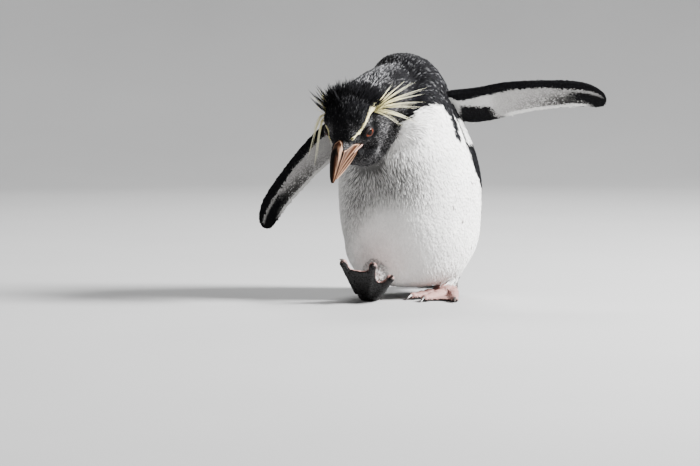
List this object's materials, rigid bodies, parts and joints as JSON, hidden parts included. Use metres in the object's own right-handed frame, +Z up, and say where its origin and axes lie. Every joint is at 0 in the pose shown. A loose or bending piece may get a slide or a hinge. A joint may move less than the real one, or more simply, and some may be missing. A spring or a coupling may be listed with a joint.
{
  "type": "southern rockhopper penguin",
  "caption": "Life-size rockhopper penguin stepping forward with head bent down, flippers held out and a fanned crest behind each eye.",
  "frame": {"origin": "on the floor, under the middle of the whole bird's box", "axes": "+X towards the bird's left, -Y the way its trunk faces, +Z up"},
  "size_m": [0.3722, 0.3002, 0.2675],
  "materials": {
    "black_feathers": "short overlapping blue-black feathers with a slight sheen",
    "white_feathers": "dense matt white feathers",
    "crest_feathers": "long thin pale yellow plumes",
    "bill_horn": "ridged horn with a soft gloss and pale edges",
    "eye": "wet, glossy red-brown iris with a black pupil",
    "foot_skin": "scaly skin, pinkish above and black below",
    "claw_horn": "dark horn"
  },
  "bodies": {
    "root": {"trunk": "white_feathers", "neck": "black_feathers", "head": "black_feathers", "bill_upper": "bill_horn", "bill_lower": "bill_horn", "eye_left": "eye", "eye_right": "eye", "crest_left": "crest_feathers", "crest_right": "crest_feathers", "flipper_left": "black_feathers", "flipper_right": "black_feathers", "leg_left": "white_feathers", "leg_right": "white_feathers", "foot_left": "foot_skin", "foot_right": "foot_skin", "claw_left_inner": "claw_horn", "claw_left_middle": "claw_horn", "claw_left_outer": "claw_horn", "claw_right_inner": "claw_horn", "claw_right_middle": "claw_horn", "claw_right_outer": "claw_horn", "tail": "black_feathers"}
  },
  "joints": []
}
